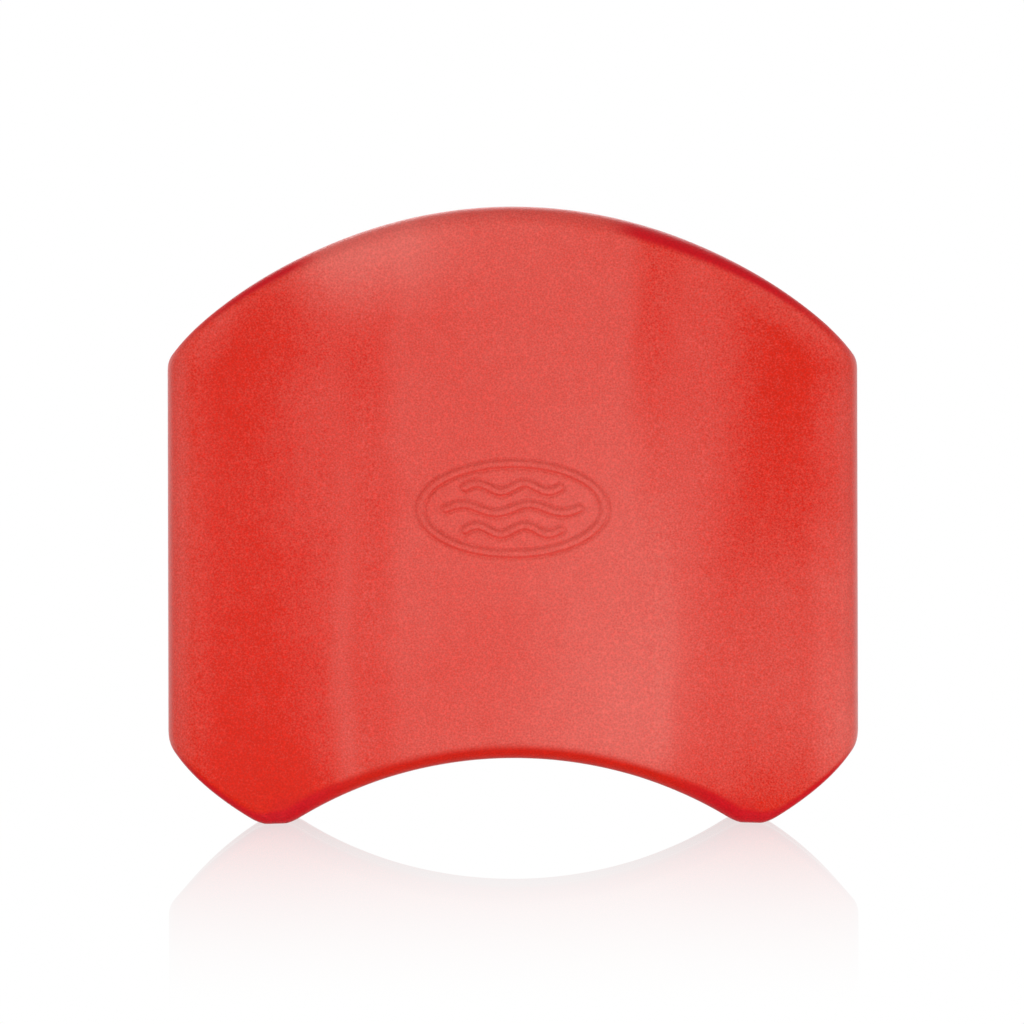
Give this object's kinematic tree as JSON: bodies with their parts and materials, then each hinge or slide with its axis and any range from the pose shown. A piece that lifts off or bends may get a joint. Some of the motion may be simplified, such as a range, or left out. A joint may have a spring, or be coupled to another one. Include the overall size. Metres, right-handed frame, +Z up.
{
  "type": "swim pull-kick board",
  "caption": "Thick foam swim board with a curved crown, two rounded feet and a waist that is gripped between the thighs.",
  "frame": {"origin": "on the floor, midway between the two feet and midway through the thickness", "axes": "+X across the board to the viewer's right, +Y from the front face with the emblem to the back face, +Z up from the feet to the crown"},
  "size_m": [0.28, 0.054, 0.25],
  "materials": {
    "foam_front": "matt moulded skin of closed-cell EVA foam, fine pebble grain, red",
    "foam_core": "matt closed-cell EVA foam sheet, fine cell grain, red",
    "foam_back": "matt moulded skin of closed-cell EVA foam, fine pebble grain, red"
  },
  "bodies": {
    "root": {"front_layer": "foam_front", "core_layer": "foam_core", "back_layer": "foam_back"}
  },
  "joints": []
}
